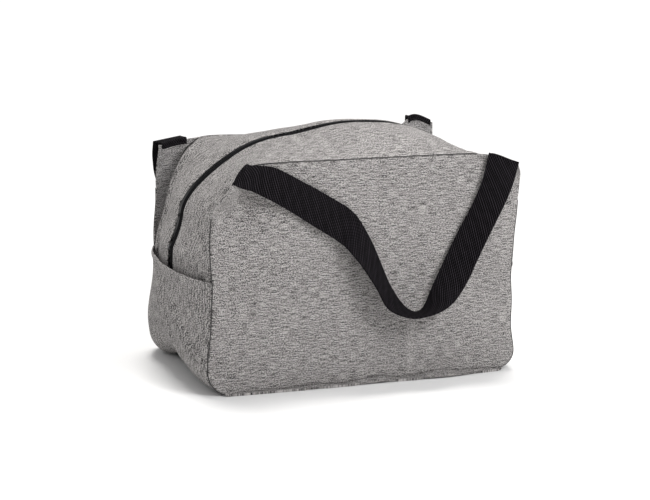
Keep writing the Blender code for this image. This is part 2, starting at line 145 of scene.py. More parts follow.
def spline(points, steps):
    """A Catmull-Rom curve through points (or rows of points), with steps pieces between each two."""
    p = np.array(points, float)
    p = np.concatenate([2 * p[:1] - p[1:2], p, 2 * p[-1:] - p[-2:-1]])
    t = (np.arange(steps) / steps).reshape([-1] + [1] * (p.ndim - 1))
    out = []
    for a, b, c, d in zip(p, p[1:], p[2:], p[3:]):
        bend = 2 * b + (c - a) * t + (2 * a - 5 * b + 4 * c - d) * t**2 + (3 * b - a - 3 * c + d) * t**3
        out.append(bend / 2)
    return np.concatenate(out + [p[-2:-1]])


def lengths_along(line):
    """Distance from the start to each point of a line."""
    return np.concatenate([[0], np.cumsum(np.linalg.norm(np.diff(line, axis=0), axis=1))])


def even(line, count):
    """The same line with count points at equal distances."""
    reach = lengths_along(line)
    at = np.linspace(0, reach[-1], count)
    return np.stack([np.interp(at, reach, line[:, k]) for k in range(line.shape[1])], 1)


def ripple(u, v, size, seed):
    """Soft unevenness between about -1 and 1, with features of that size."""
    rng = np.random.default_rng(seed)
    total = 0
    for turn in rng.uniform(0, math.pi, 7):
        wave = 2 * math.pi / (size * rng.uniform(0.7, 1.6))
        total = total + np.sin(wave * (u * math.cos(turn) + v * math.sin(turn)) + rng.uniform(0, 6.3))
    return total / 4


# Mesh makers


def grid_normals(points, away_from):
    """Unit normals of a grid of points, on the side away from a point or points behind it."""
    n = unit(np.cross(np.gradient(points, axis=0), np.gradient(points, axis=1)))
    return n if np.sum(n * (points - np.array(away_from))) > 0 else -n


def new_mesh(name, verts, faces, material, uv=None):
    """A smooth-shaded mesh object with that material, and its pattern as its UV map."""
    mesh = bpy.data.meshes.new(name)
    mesh.from_pydata(np.asarray(verts).tolist(), [], [list(map(int, f)) for f in faces])
    mesh.materials.append(material)
    if uv is not None:
        layer = mesh.uv_layers.new(name="pattern")
        loop_vertex = np.zeros(len(mesh.loops), np.int32)
        mesh.loops.foreach_get("vertex_index", loop_vertex)
        layer.data.foreach_set("uv", np.asarray(uv, np.float32)[loop_vertex].ravel())
    mesh.update()
    mesh.shade_smooth()
    mesh.set_sharp_from_angle(angle=math.radians(55))
    made = bpy.data.objects.new(name, mesh)
    bpy.context.scene.collection.objects.link(made)
    return made


def cloth(name, points, uv, material, behind=INSIDE, thickness=CLOTH, set_in=0.0):
    """A sheet of that thickness through a grid of points, which are its outer face, or set_in from it."""
    rows, columns = points.shape[:2]
    normals = grid_normals(points, behind)
    outer = (points - normals * set_in).reshape(-1, 3)
    inner = (points - normals * (set_in + thickness)).reshape(-1, 3)
    index = np.arange(rows * columns).reshape(rows, columns)
    a, b, c, d = index[:-1, :-1], index[:-1, 1:], index[1:, 1:], index[1:, :-1]
    quads = np.stack([a, b, c, d], -1).reshape(-1, 4)
    corner, after, _, before = quads[len(quads) // 2]
    facing = np.cross(outer[after] - outer[corner], outer[before] - outer[corner])
    if facing @ normals.reshape(-1, 3)[corner] < 0:
        quads = quads[:, ::-1]
    loop = np.concatenate([index[0], index[1:, -1], index[-1, -2::-1], index[-2:0:-1, 0]])
    turned = np.roll(loop, -1)
    rim = np.stack([loop, turned, turned + rows * columns, loop + rows * columns], -1)
    edge_used = {(int(q[k]), int(q[(k + 1) % 4])) for q in quads for k in range(4)}
    if (int(loop[0]), int(turned[0])) in edge_used:
        rim = rim[:, ::-1]
    faces = np.concatenate([quads, quads[:, ::-1] + rows * columns, rim])
    pattern = np.concatenate([uv.reshape(-1, 2), uv.reshape(-1, 2)])
    return new_mesh(name, np.concatenate([outer, inner]), faces, material, pattern)


def frames_along(line, up):
    """Side and upright directions at each point of a line, given rough upright ones."""
    tangent = unit(np.gradient(line, axis=0))
    side = unit(np.cross(tangent, up))
    return tangent, side, np.cross(side, tangent)


def cord_mesh(name, line, radius, material, up=(0.1, 0.2, 1), sides=6):
    """A round thread or cord along a line."""
    _, side, over = frames_along(line, np.broadcast_to(np.array(up, float), line.shape))
    angle = np.arange(sides) * 2 * math.pi / sides
    ring = side[:, None] * np.cos(angle)[None, :, None] + over[:, None] * np.sin(angle)[None, :, None]
    verts = (line[:, None] + ring * radius).reshape(-1, 3)
    faces = []
    for i in range(len(line) - 1):
        for j in range(sides):
            k = (j + 1) % sides
            faces.append((i * sides + j, i * sides + k, (i + 1) * sides + k, (i + 1) * sides + j))
    faces.append(tuple(range(sides))[::-1])
    faces.append(tuple((len(line) - 1) * sides + j for j in range(sides)))
    reach = lengths_along(line)
    uv = np.stack([np.repeat(reach, sides), np.tile(angle * radius, len(line))], 1)
    return new_mesh(name, verts, faces, material, uv)


def lugs(name, centres, along, across, over, size, material):
    """Many small rounded lugs as one mesh: each is an eight-sided lozenge, long along the first direction."""
    shape = np.array([[-1, 0, 0], [-0.6, 0.8, 0], [0.6, 0.8, 0], [1, 0, 0], [0.6, -0.8, 0], [-0.6, -0.8, 0]])
    upper = shape * np.array([0.8, 0.75, 0]) + np.array([0, 0, 1])
    local = np.concatenate([shape, upper]) * np.array(size)
    axes = np.stack([along, across, over], 1)
    offsets = [local[None, :, k : k + 1] * axes[:, None, k] for k in range(3)]
    verts = centres[:, None] + np.sum(offsets, axis=0)
    faces = []
    for i in range(len(centres)):
        at = i * 12
        faces += [(at + k, at + (k + 1) % 6, at + 6 + (k + 1) % 6, at + 6 + k)[::-1] for k in range(6)]
        faces.append(tuple(at + 6 + k for k in range(6))[::-1])
        faces.append(tuple(at + k for k in range(6)))
    uv = np.repeat(np.arange(len(centres)) * 0.01, 12)
    flat = verts.reshape(-1, 3)
    return new_mesh(name, flat, faces, material, np.stack([uv, uv], 1))


def stitches(name, line, normal, material, pitch=0.0032, length=0.0024, radius=0.00032):
    """A row of sewing-machine stitches along a line that lies on cloth."""
    total = lengths_along(line)[-1]
    count = max(2, int(total / pitch))
    middle = even(line, count * 2 + 1)[1::2]
    up = even(np.concatenate([line, normal], 1), count * 2 + 1)[1::2, 3:]
    tangent, side, over = frames_along(middle, up)
    size = (length / 2, radius, radius)
    return lugs(name, middle - over * radius * 0.4, tangent, side, over, size, material)


# Materials


class Shader:
    """A Principled material that is put together from a few node calls."""

    def __init__(self, name, colour, roughness, metallic=0.0, sheen=0.0):
        self.material = bpy.data.materials.new(name)
        self.material.use_nodes = True
        self.tree = self.material.node_tree
        self.principled = self.tree.nodes["Principled BSDF"]
        self.set("Base Color", (*colour, 1))
        self.set("Roughness", roughness)
        self.set("Metallic", metallic)
        self.set("Specular IOR Level", 0.3)
        self.set("Sheen Weight", sheen)
        self.set("Sheen Roughness", 0.5)
        self.material.diffuse_color = (*colour, 1)
        self.coordinates = self.tree.nodes.new("ShaderNodeUVMap")
        self.coordinates.uv_map = "pattern"

    def set(self, socket, value):
        self.principled.inputs[socket].default_value = value

    def node(self, kind, **settings):
        made = self.tree.nodes.new(kind)
        for key, value in settings.items():
            setattr(made, key, value)
        return made

    def link(self, out, into):
        self.tree.links.new(out, into)

    def scaled(self, across, along, turn=0.0):
        """The pattern's coordinates in cycles per metre across and along."""
        mapping = self.node("ShaderNodeMapping")
        mapping.inputs["Scale"].default_value = (across, along, 1)
        source = self.coordinates.outputs["UV"]
        if turn:
            spin = self.node("ShaderNodeMapping")
            spin.inputs["Rotation"].default_value = (0, 0, turn)
            self.link(source, spin.inputs["Vector"])
            source = spin.outputs["Vector"]
        self.link(source, mapping.inputs["Vector"])
        return mapping.outputs["Vector"]

    def noise(self, vector, detail=1.0, roughness=0.5):
        made = self.node("ShaderNodeTexNoise", noise_dimensions="2D")
        made.inputs["Scale"].default_value = 1.0
        made.inputs["Detail"].default_value = detail
        made.inputs["Roughness"].default_value = roughness
        self.link(vector, made.inputs["Vector"])
        return made.outputs["Fac"]

    def math(self, operation, a, b=0.0, c=0.0):
        made = self.node("ShaderNodeMath", operation=operation)
        for socket, value in zip(made.inputs, (a, b, c)):
            if isinstance(value, (int, float)):
                socket.default_value = value
            else:
                self.link(value, socket)
        return made.outputs[0]

    def spread(self, value, low, high):
        """Stretches a noise about its middle so that it runs from low to high."""
        made = self.node("ShaderNodeMapRange")
        made.inputs["From Min"].default_value = 0.25
        made.inputs["From Max"].default_value = 0.75
        made.inputs["To Min"].default_value = low
        made.inputs["To Max"].default_value = high
        self.link(value, made.inputs["Value"])
        return made.outputs["Result"]

    def threads(self, pitch_across, pitch_along, turn=0.0):
        """Over-and-under threads as a height from -1 to 1."""
        split = self.node("ShaderNodeSeparateXYZ")
        self.link(self.scaled(math.pi / pitch_across, math.pi / pitch_along, turn), split.inputs["Vector"])
        return self.math(
            "MULTIPLY", self.math("SINE", split.outputs["X"]), self.math("SINE", split.outputs["Y"])
        )

    def ribs(self, pitch, turn):
        """Parallel ridges as a height from -1 to 1, turned by that angle."""
        split = self.node("ShaderNodeSeparateXYZ")
        self.link(self.scaled(2 * math.pi / pitch, 1, turn), split.inputs["Vector"])
        return self.math("SINE", split.outputs["X"])

    def colour_by(self, value, dark, light):
        mix = self.node("ShaderNodeMix", data_type="RGBA")
        mix.inputs["A"].default_value = (*dark, 1)
        mix.inputs["B"].default_value = (*light, 1)
        self.link(value, mix.inputs["Factor"])
        self.link(mix.outputs["Result"], self.principled.inputs["Base Color"])

    def vary(self, value, colour, darker, lighter):
        """The colour made darker and lighter by a height from -1 to 1."""
        factor = self.math("MULTIPLY_ADD", value, 0.3, 0.5)
        self.colour_by(factor, [c * darker for c in colour], [c * lighter for c in colour])

    def raise_by(self, height, distance, strength=1.0):
        bump = self.node("ShaderNodeBump")
        bump.inputs["Distance"].default_value = distance
        bump.inputs["Strength"].default_value = strength
        self.link(height, bump.inputs["Height"])
        self.link(bump.outputs["Normal"], self.principled.inputs["Normal"])


def melange(name, colour, contrast):
    """Grey melange canvas: slubby streaks of pale and dark yarn along the weft, over a plain weave."""
    made = Shader(name, colour, 0.92, sheen=0.04)
    made.set("Specular IOR Level", 0.15)
    long_slub = made.spread(made.noise(made.scaled(90, 1150), 0.0), -1, 1)
    short_slub = made.spread(made.noise(made.scaled(520, 1100), 1.0), -1, 1)
    fleck = made.spread(made.noise(made.scaled(1050, 900), 0.0), -1, 1)
    cloudy = made.spread(made.noise(made.scaled(14, 22), 2.0), -1, 1)
    weave = made.threads(0.00062, 0.00055)
    slubs = made.math("MULTIPLY_ADD", long_slub, 0.56, made.math("MULTIPLY", short_slub, 0.60))
    slubs = made.math("MULTIPLY_ADD", fleck, 0.88, slubs)
    total = made.math("MULTIPLY_ADD", weave, 0.40, slubs)
    total = made.math("MULTIPLY_ADD", cloudy, 0.07, total)
    factor = made.math("MULTIPLY_ADD", total, 0.50, 0.5)
    dark = [c * (1 - contrast) for c in colour]
    light = [c * (1 + contrast) for c in colour]
    made.colour_by(factor, dark, light)
    height = made.math("MULTIPLY_ADD", weave, 1.0, slubs)
    made.raise_by(height, 0.00022)
    return made.material


def woven_black(name, colour, roughness, pitch, turn, depth):
    """Black synthetic webbing or tape: diagonal ribs crossed by fine threads, the crests painted lighter as
    highlights and the hollows darker as shade.
    """
    made = Shader(name, colour, roughness)
    made.set("Specular IOR Level", 0.03)
    ribs = made.ribs(pitch, turn)
    fine = made.threads(pitch * 1.1, pitch * 0.8)
    mottled = made.spread(made.noise(made.scaled(160, 60), 2.0), -1, 1)
    height = made.math("MULTIPLY_ADD", fine, 0.70, ribs)
    # Colour follows the weave's height: painted highlight on the crests and painted shade in the hollows,
    # with random mottling on top
    crest_sheen_and_mottle = made.math("MULTIPLY_ADD", mottled, 0.08, made.math("MULTIPLY_ADD", height, 0.60, 0.10))
    made.colour_by(crest_sheen_and_mottle, [c * 0.1 for c in colour], [c * 5.0 for c in colour])
    made.raise_by(height, depth)
    return made.material


def spun_thread(name, colour):
    """Sewing thread: two plies twisted together."""
    made = Shader(name, colour, 0.7, sheen=0.1)
    ply = made.ribs(0.0006, math.radians(35))
    made.vary(ply, colour, 0.7, 1.3)
    made.raise_by(ply, 0.00005)
    return made.material


def nylon_coil(name, colour):
    made = Shader(name, colour, 0.38)
    made.set("Specular IOR Level", 0.12)
    worn = made.spread(made.noise(made.scaled(30, 30), 2.0), -1, 1)
    made.vary(worn, colour, 0.7, 1.4)
    return made.material


def painted_metal(name, colour):
    """Black-painted zinc: uneven gloss, and paint thinned along the edges."""
    made = Shader(name, colour, 0.35, metallic=0.9)
    place = made.node("ShaderNodeTexCoord")
    mapping = made.node("ShaderNodeMapping")
    mapping.inputs["Scale"].default_value = (900, 900, 900)
    made.link(place.outputs["Object"], mapping.inputs["Vector"])
    grain = made.node("ShaderNodeTexNoise")
    grain.inputs["Scale"].default_value = 1.0
    made.link(mapping.outputs["Vector"], grain.inputs["Vector"])
    made.link(made.spread(grain.outputs["Fac"], 0.26, 0.48), made.principled.inputs["Roughness"])
    edge = made.node("ShaderNodeNewGeometry")
    worn = made.math("MULTIPLY", made.math("SUBTRACT", edge.outputs["Pointiness"], 0.5), 6.0)
    mix = made.node("ShaderNodeMix", data_type="RGBA")
    mix.inputs["A"].default_value = (*colour, 1)
    mix.inputs["B"].default_value = (0.16, 0.16, 0.165, 1)
    made.link(worn, mix.inputs["Factor"])
    made.link(mix.outputs["Result"], made.principled.inputs["Base Color"])
    made.raise_by(grain.outputs["Fac"], 0.00003)
    return made.material


# The panels: from flat pattern to hung shape

# Where a panel stands off its flat pattern: flat x and z, then the shift in x, outwards and in z, in mm
FRONT_PINS = [
    # left wing: its top edge comes forward from the arch's corner, then drops to the tip
    (-129, 242, 1, 1, -1),
    (-141, 242, 6, 13, 0),
    (-157, 242, 11, 21, -7),
    (-173, 242, 16, 28, -17),
    (-173, 214, 6, 17, -8),
    (-173, 187, 2, 2, 0),
    (-151, 216, 5, 12, -4),
    (-126, 222, 0, -3, 0),
    (-124, 205, 0, -6, 0),
    (-133, 198, 0, -6, 0),
    (-144, 194, 0, -6, 0),
    (-158, 190, 0, -4, 0),
    (-106, 238, 0, 0, 0),
    (-104, 214, 0, 0, 0),
    (-120, 180, 0, 1, 0),
    (-150, 172, 0, 0, 0),
    (-173, 165, 1, 0, 0),
    # right wing
    (135, 242, 0, 2, -2),
    (143, 242, -2, 7, -3),
    (173, 242, -9, 20, -11),
    (173, 222, -1, 9, -3),
    (173, 205, 2, 1, 0),
    (152, 209, 0, -2, 0),
    (150, 225, -2, 6, -2),
    (122, 224, 0, 0, 0),
    (150, 184, 0, 0, 0),
    (173, 180, 1, 0, 0),
    # side edges and the bottom seam
    (-173, 116, 3, 0, 0),
    (-173, 72, 1, 0, 0),
    (-173, 32, -3, 0, 0),
    (173, 150, -2, 0, 0),
    (173, 104, -5, 0, 0),
    (173, 50, -4, 0, 0),
    (173, 22, 0, 0, 0),
    (-120, 0, 0, 0, 1),
    (-60, 0, 0, 0, 3),
    (10, 0, 0, 0, 5),
    (84, 0, 0, 0, 6),
    (138, 0, 0, 0, 3),
]
BACK_PINS = [
    (-173, 242, 8, -3, -7),
    (-157, 242, 7, -2, -4),
    (-135, 242, 9, -1, -1),
    (-140, 222, 6, 0, -1),
    (-173, 205, 5, 0, -4),
    (-173, 170, 4, 0, 0),
    (-110, 242, 4, 0, 1),
    (-84, 242, 0, 0, 1),
    (135, 242, 0, 2, 5),
    (143, 242, 0, 4, 11),
    (173, 242, 1, 5, 4),
    (173, 215, 0, 2, 2),
    (150, 215, 0, 1, 4),
    (173, 185, -1, 0, 0),
    (112, 242, 0, 0, 1),
    (-173, 100, 2, 0, 0),
    (173, 100, -3, 0, 0),
    (-90, 0, 0, 0, 2),
    (0, 0, 0, 0, 4),
    (90, 0, 0, 0, 2),
]
PIN_REACH = 0.072


def near(distance):
    """A smooth hump that is zero beyond the pins' reach."""
    r = np.clip(distance / PIN_REACH, 0, 1)
    return (1 - r) ** 4 * (4 * r + 1)


def solve_pins(pins):
    table = np.array(pins, float) / 1000
    gaps = np.linalg.norm(table[:, None, :2] - table[None, :, :2], axis=2)
    return table[:, :2], np.linalg.solve(near(gaps) + np.eye(len(table)) * 0.002, table[:, 2:])


PINS = {FRONT: solve_pins(FRONT_PINS), BACK: solve_pins(BACK_PINS)}
PANEL_CROWN = {FRONT: 0.0045, BACK: 0.0060}
PANEL_SEED = {FRONT: 11, BACK: 23}


def panel_point(side, x, z):
    """Where a point of a panel's flat pattern is on the standing bag."""
    x, z = np.broadcast_arrays(np.asarray(x, float), np.asarray(z, float))
    places, weights = PINS[side]
    gap = np.sqrt((x[..., None] - places[:, 0]) ** 2 + (z[..., None] - places[:, 1]) ** 2)
    shift = near(gap) @ weights
    edge = np.cos(np.clip(x / HALF_WIDTH, -1, 1) * math.pi / 2) ** 0.8
    lift = np.sin(np.clip(z / PANEL_TOP, 0, 1) * math.pi) ** 0.8
    crown = PANEL_CROWN[side] * edge * lift
    uneven = 0.0011 * ripple(x, z * 1.3, 0.085, PANEL_SEED[side]) * np.sqrt(edge * lift)
    fine = 0.00035 * ripple(x, z, 0.030, PANEL_SEED[side] + 1) * np.sqrt(edge * lift)
    out = HALF_DEPTH + shift[..., 1] + crown + uneven + fine
    return np.stack([x + shift[..., 0], side * out, z + shift[..., 2]], -1)


def half_width_at(z):
    """Half width of a panel's flat pattern, which has round bottom corners."""
    below = np.clip(BASE_CORNER - z, 0, BASE_CORNER)
    return HALF_WIDTH - BASE_CORNER + np.sqrt(BASE_CORNER**2 - below**2)


def corner_heights(top, step):
    """Heights from the bottom seam round the corner and on to the top, close together in the corner."""
    turn = np.linspace(0, math.pi / 2, 9)
    low = BASE_CORNER * (1 - np.cos(turn))
    return np.concatenate([low, np.linspace(BASE_CORNER, top, int((top - BASE_CORNER) / step) + 1)[1:]])


def arch_seam(count, set_in=0.0):
    """The arch seam on the flat pattern, from the left foot over the top to the right foot."""
    lean = math.atan2(ARCH_FOOT_X - ARCH_HEAD_X, ARCH_TOP - HEM_HEIGHT)
    corner_z = ARCH_TOP - ARCH_CORNER
    corner_x = between(ARCH_FOOT_X, ARCH_HEAD_X, (corner_z - HEM_HEIGHT) / (ARCH_TOP - HEM_HEIGHT))
    corner_x -= ARCH_CORNER / math.cos(lean)
    radius = ARCH_CORNER - set_in
    turn = np.linspace(lean, math.pi / 2, 14)
    arc = np.stack([corner_x + radius * np.cos(turn), corner_z + radius * np.sin(turn)], 1)
    foot = np.array([[HALF_WIDTH - 0.002 - set_in, STRIP_FOOT], [ARCH_FOOT_X - set_in, HEM_HEIGHT]])
    right = np.concatenate([foot, arc])
    left = right * np.array([-1, 1])
    return even(np.concatenate([left, right[::-1]]), count)


def arch_radius(turn):
    """The three-centred arch's distance from the slider's centre, at angles above the horizontal."""
    first = np.linspace(0, ZIP_HAUNCH_TURN, 30)
    second = np.linspace(ZIP_HAUNCH_TURN, math.radians(100), 60)
    step = ZIP_TOP_ARC - ZIP_HAUNCH_ARC
    top_centre = ZIP_TOP - ZIP_TOP_ARC
    x = ZIP_TOP_ARC * np.sin(first)
    z = top_centre + ZIP_TOP_ARC * np.cos(first)
    x = np.concatenate([x, step * math.sin(ZIP_HAUNCH_TURN) + ZIP_HAUNCH_ARC * np.sin(second)])
    z = np.concatenate([z, top_centre + step * math.cos(ZIP_HAUNCH_TURN) + ZIP_HAUNCH_ARC * np.cos(second)])
    z = z - ZIP_CENTRE_HEIGHT
    return np.interp(turn, np.arctan2(z, x)[::-1], np.hypot(x, z)[::-1])


def zip_line(count, foot=STRIP_FOOT):
    """The zip's line in x and z, from the left foot over the top to the right foot."""
    low = math.asin((ZIP_STRAIGHT_BELOW - ZIP_CENTRE_HEIGHT) / ZIP_RADIUS)
    turn = np.linspace(low, math.pi / 2, 90)
    share = smooth((turn - ZIP_CIRCLE_UP_TO) / (ZIP_ARCH_FROM - ZIP_CIRCLE_UP_TO))
    radius = between(ZIP_RADIUS, arch_radius(turn), share)
    right = np.stack([radius * np.cos(turn), ZIP_CENTRE_HEIGHT + radius * np.sin(turn)], 1)
    right = np.concatenate([[[right[0, 0] + 0.001, foot]], right])
    left = right * np.array([-1, 1])
    line = np.concatenate([left, right[-2::-1]])
    line[:, 0] += ZIP_LEAN * smooth((line[:, 1] - ZIP_LEAN_FROM) / ZIP_LEAN_OVER)
    line[:, 0] += TAB_ROOM * hill(line[:, 1], TAB_HEIGHT, TAB_REACH) * (line[:, 0] < 0)
    rise = ZIP_RIGHT_RISE * hill(line[:, 0], ZIP_RIGHT_PLACE, ZIP_RIGHT_REACH)
    drop = ZIP_LEFT_DROP * hill(line[:, 0], ZIP_LEFT_PLACE, ZIP_LEFT_REACH)
    line[:, 1] += rise - drop
    return even(line, count)


# Pieces


def follow_halves(piece):
    """Bakes the piece's placement into its mesh."""
    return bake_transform(piece)


def make_panel(side, word):
    heights = corner_heights(PANEL_TOP, FINE)
    across = np.unique(np.concatenate([np.linspace(-1, 1, 131), [-0.994, -0.998, 0.994, 0.998]]))
    z = np.repeat(heights[:, None], len(across), 1)
    x = across[None, :] * half_width_at(z)
    points = panel_point(side, x, z)
    sewn = smooth((0.205 - z) / 0.02)
    from_side = (half_width_at(z) - np.abs(x)) / 0.003
    from_foot = z / 0.003
    top_sewn = smooth((0.130 - np.abs(x)) / 0.01)
    from_top = (PANEL_TOP - z) / 0.003
    tuck = np.maximum(np.clip(1 - from_side, 0, 1) * sewn, np.clip(1 - from_foot, 0, 1))
    tuck = np.maximum(tuck, np.clip(1 - from_top, 0, 1) * top_sewn)
    points[..., 1] -= side * 0.0022 * tuck**2
    made = cloth(f"{word}_panel", points, np.stack([x, z], -1), grey, behind=INSIDE)
    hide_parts(f"{word}_panel_lower", f"{word}_panel_upper")
    return follow_halves(made)


def make_wing_facings(side, word):
    """The inner layer of each wing, between the arch seam and the panel's free edges."""
    for mirror, hand in HANDS:
        seam = arch_seam(241)
        right = seam[seam[:, 0] > 0]
        keep = (right[:, 1] > 0.150) & (right[:, 0] > 0.124)
        inner = even(right[keep] + np.array([0.0010, 0.0008]), 34)
        corner = np.array([HALF_WIDTH - 0.0006, PANEL_TOP - 0.0006])
        outer = even(np.array([[inner[0, 0] + 0.001, corner[1]], corner, [corner[0], inner[-1, 1]]]), 34)
        outer[np.argmin(np.linalg.norm(outer - corner, axis=1))] = corner
        share = np.linspace(0, 1, 16)[None, :, None]
        flat = between(inner[:, None], outer[:, None], share)
        points = panel_point(side, mirror * flat[..., 0], flat[..., 1])
        uv = flat * np.array([mirror, 1]) + 0.3
        name = f"{word}_{hand}_wing_facing"
        made = cloth(name, points, uv, grey_facing, INSIDE, thickness=0.0010, set_in=CLOTH + 0.0002)
        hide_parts(f"{word}_{hand}_wing_facing")
        follow_halves(made)


def strip_points(side, count=221, across=30):
    """The zip gusset's surface on one side, from its seam with the panel to its edge at the zip."""
    seam = arch_seam(count)
    edge = panel_point(side, seam[:, 0], seam[:, 1])
    edge[:, 1] -= side * (CLOTH + 0.0003)
    crest = zip_line(count)
    share = np.concatenate([[0, 0.012, 0.024, 0.036], np.linspace(0.05, 1, across)])[None, :]
    full = np.sin(share * math.pi / 2)
    points = np.zeros((count, share.shape[1], 3))
    points[..., 0] = between(edge[:, :1], crest[:, :1], full)
    points[..., 1] = between(edge[:, 1:2], side * ZIP_GAP, share)
    points[..., 2] = between(edge[:, 2:], crest[:, 1:], full)
    length = lengths_along(crest)
    u = np.repeat(length[:, None], share.shape[1], 1)
    v = share * HALF_DEPTH + 0 * u
    normals = grid_normals(points, (0, 0, ZIP_CENTRE_HEIGHT))
    middle = length[-1] / 2
    haunch = smooth((np.abs(u - middle) - 0.110) / 0.05)
    pinch = 0.0040 * hill(v, 0.015, 0.0042) * haunch - 0.0030 * hill(v, 0.0055, 0.0040) * haunch
    pinch -= 0.0018 * hill(v, 0.028, 0.008) * haunch
    hemmed = 0.0007 * hill(v, HALF_DEPTH - 0.006, 0.003) - 0.0026 * smooth((v - HALF_DEPTH + 0.006) / 0.006)
    calm = np.sin(np.clip(share, 0, 1) * math.pi) ** 0.7
    uneven = (0.0009 * ripple(u, v, 0.075, 31 + side) + 0.0003 * ripple(u, v, 0.028, 35 + side)) * calm
    points = points + normals * (pinch + hemmed + uneven)[..., None]
    return points, np.stack([u, v * SIDE_WEAVE + 0.5 + side * 0.2], -1)


def make_strip(side, word):
    points, uv = strip_points(side)
    made = cloth(f"{word}_gusset_strip", points, uv, grey, behind=INSIDE)
    nodes = [f"gusset_strip_{word}"] + [f"gusset_strip_{word}_{hand}_end" for _, hand in HANDS]
    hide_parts(*nodes)
    return follow_halves(made)


def make_seam_shade_cords(side, word):
    """A dark cord along each seam round a panel: painted shade, standing for the shadow down in the groove
    between two cloths.
    """
    seam = arch_seam(301)
    line = panel_point(side, seam[:, 0], seam[:, 1] + 0.0006)
    line[:, 1] -= side * between(CLOTH + 0.0010, 0.0010, smooth((0.134 - np.abs(seam[:, 0])) / 0.01))
    pieces = [cord_mesh(f"{word}_arch_seam", line, 0.0006, seam_shade_cord)]
    heights = corner_heights(0.188, 0.004)
    right = np.stack([half_width_at(heights), heights], 1)
    left = right * np.array([-1, 1])
    outline = even(np.concatenate([left[::-1], right]), 260)
    line = panel_point(side, outline[:, 0], outline[:, 1])
    line[:, 1] -= side * 0.0018
    line[:, 2] = np.maximum(line[:, 2], 0.0009)
    pieces.append(cord_mesh(f"{word}_edge_seam", line, 0.0006, seam_shade_cord, up=(0.1, 1, 0.2)))
    for piece in pieces:
        follow_halves(piece)


def make_seam_bindings(side, word):
    """The tape that binds the raw edges inside the bag, all round each panel."""
    loops = []
    for set_in in (0.0045, 0.0095, 0.0145):
        arch = arch_seam(181, set_in)
        heights = corner_heights(STRIP_FOOT, 0.006)
        shrink = 1 - set_in / HALF_WIDTH
        inset_x = half_width_at(heights) * shrink - 0.002
        low = np.stack([inset_x, heights + set_in * (1 - heights / STRIP_FOOT)], 1)
        left = low[::-1] * np.array([-1, 1])
        ring = np.concatenate([arch, low[::-1][1:], np.array([[0, set_in]]), left[::-1][:-1]])
        loops.append(even(np.concatenate([ring, ring[:1]]), 320))
    flat = np.stack(loops, 1)
    points = panel_point(side, flat[..., 0], flat[..., 1])
    points[..., 1] -= side * (CLOTH + 0.0012 + 0.0008 * np.array([0, 1, 0])[None, :])
    along = np.repeat(lengths_along(loops[1])[:, None], 3, 1)
    uv = np.stack([along, np.array([0, 0.005, 0.010])[None, :] + 0 * along], -1)
    made = cloth(f"{word}_seam_binding", points, uv, binding_black, (0, side * 0.5, 0.1), thickness=0.0007)
    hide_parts(f"{word}_seam_binding_lower", f"{word}_seam_binding_upper")
    follow_halves(made)


def base_lift(x, y):
    """How far the bottom's left end has come up off the ground, half way between front and back."""
    return BASE_LIFT * hill(y, 0.012, 0.066) * smooth((-x - 0.085) / 0.075)


def end_section(top, step):
    """An end's section on the right, upwards from under the bottom corner, with its outward directions."""
    turn = np.linspace(math.radians(-64), 0, 9)
    centre = HALF_WIDTH - BASE_CORNER
    low = np.stack([centre + BASE_CORNER * np.cos(turn), BASE_CORNER * (1 + np.sin(turn))], 1)
    away_low = np.stack([np.cos(turn), np.sin(turn)], 1)
    heights = np.linspace(BASE_CORNER, top, int((top - BASE_CORNER) / step) + 1)[1:]
    high = np.stack([np.full(len(heights), HALF_WIDTH), heights], 1)
    away_high = np.tile([1.0, 0.0], (len(heights), 1))
    return np.concatenate([low, high]), np.concatenate([away_low, away_high])


def end_points(mirror, top, fullness, depth, folds):
    """An end gusset or pocket: it swells between the two panels' side edges. depth runs from -1 to 1."""
    section, away = end_section(top, FINE)
    z = section[:, 1:] + 0 * depth[None, :]
    edges = {}
    for side, _ in SIDES:
        edges[side] = panel_point(side, mirror * section[:, 0], section[:, 1])
    share = (depth[None, :, None] + 1) / 2
    points = between(edges[FRONT][:, None], edges[BACK][:, None], share)
    points[..., 1] *= 1 - 0.0016 / HALF_DEPTH
    rise = np.sin(np.clip(z / 0.085, 0, 1) * math.pi / 2)
    y = depth[None, :] * HALF_DEPTH + 0 * z
    swell = fullness * between(0.30, 1.0, rise) * (1 - np.abs(depth[None, :]) ** 2.2) ** 0.9
    if mirror < 0:
        low_corner = hill(depth, 0.78, 0.30)[None, :] * hill(z, 0.022, 0.045) * (1 - depth**8)[None, :]
        swell = swell + LOW_CORNER_BULGE * low_corner
    if folds:
        swell = swell + pocket_folds(y if mirror < 0 else -y, z)
    calm = (1 - np.abs(depth[None, :]) ** 4) * smooth(z / 0.03)
    swell = swell + 0.0009 * ripple(y, z, 0.07, 50 + mirror) * calm
    points[..., 0] += mirror * away[:, :1] * swell
    sag = base_lift(-HALF_WIDTH, y) * smooth(1 - z / 0.110) if mirror < 0 else 0
    points[..., 2] = np.maximum(points[..., 2] + away[:, 1:] * swell + sag, 0.0018)
    reach = lengths_along(section)
    uv = np.stack([np.repeat(reach[:, None], len(depth), 1), y * SIDE_WEAVE], -1)
    return points, uv, z


# The pocket's two soft folds run down from the hem and curve forwards: heights and places along Y, in mm
FOLD_LINES = (
    ([120, 108, 72, 43, 20], [20, 16, 5, -9, -30]),
    ([104, 91, 66, 53, 40, 30], [-18, -25, -45, -64, -92, -112]),
)


def pocket_folds(y, z):
    total = 0
    for (heights, places), size, foot in zip(FOLD_LINES, (0.0032, 0.0042), (0.012, 0.018)):
        order = np.argsort(heights)
        line = np.interp(z, np.array(heights)[order] / 1000, np.array(places)[order] / 1000)
        gap = y - line
        ends = smooth((z - foot) / 0.02) * smooth((max(heights) / 1000 - z) / 0.03 + 0.2)
        total = total + size * ends * (hill(gap, 0, 0.0062) - 0.8 * hill(gap, 0.013, 0.010))
    return total


def split_depth(depth, side):
    """The columns of one half of an end: both halves share the middle one."""
    return depth <= 1e-9 if side == FRONT else depth >= -1e-9


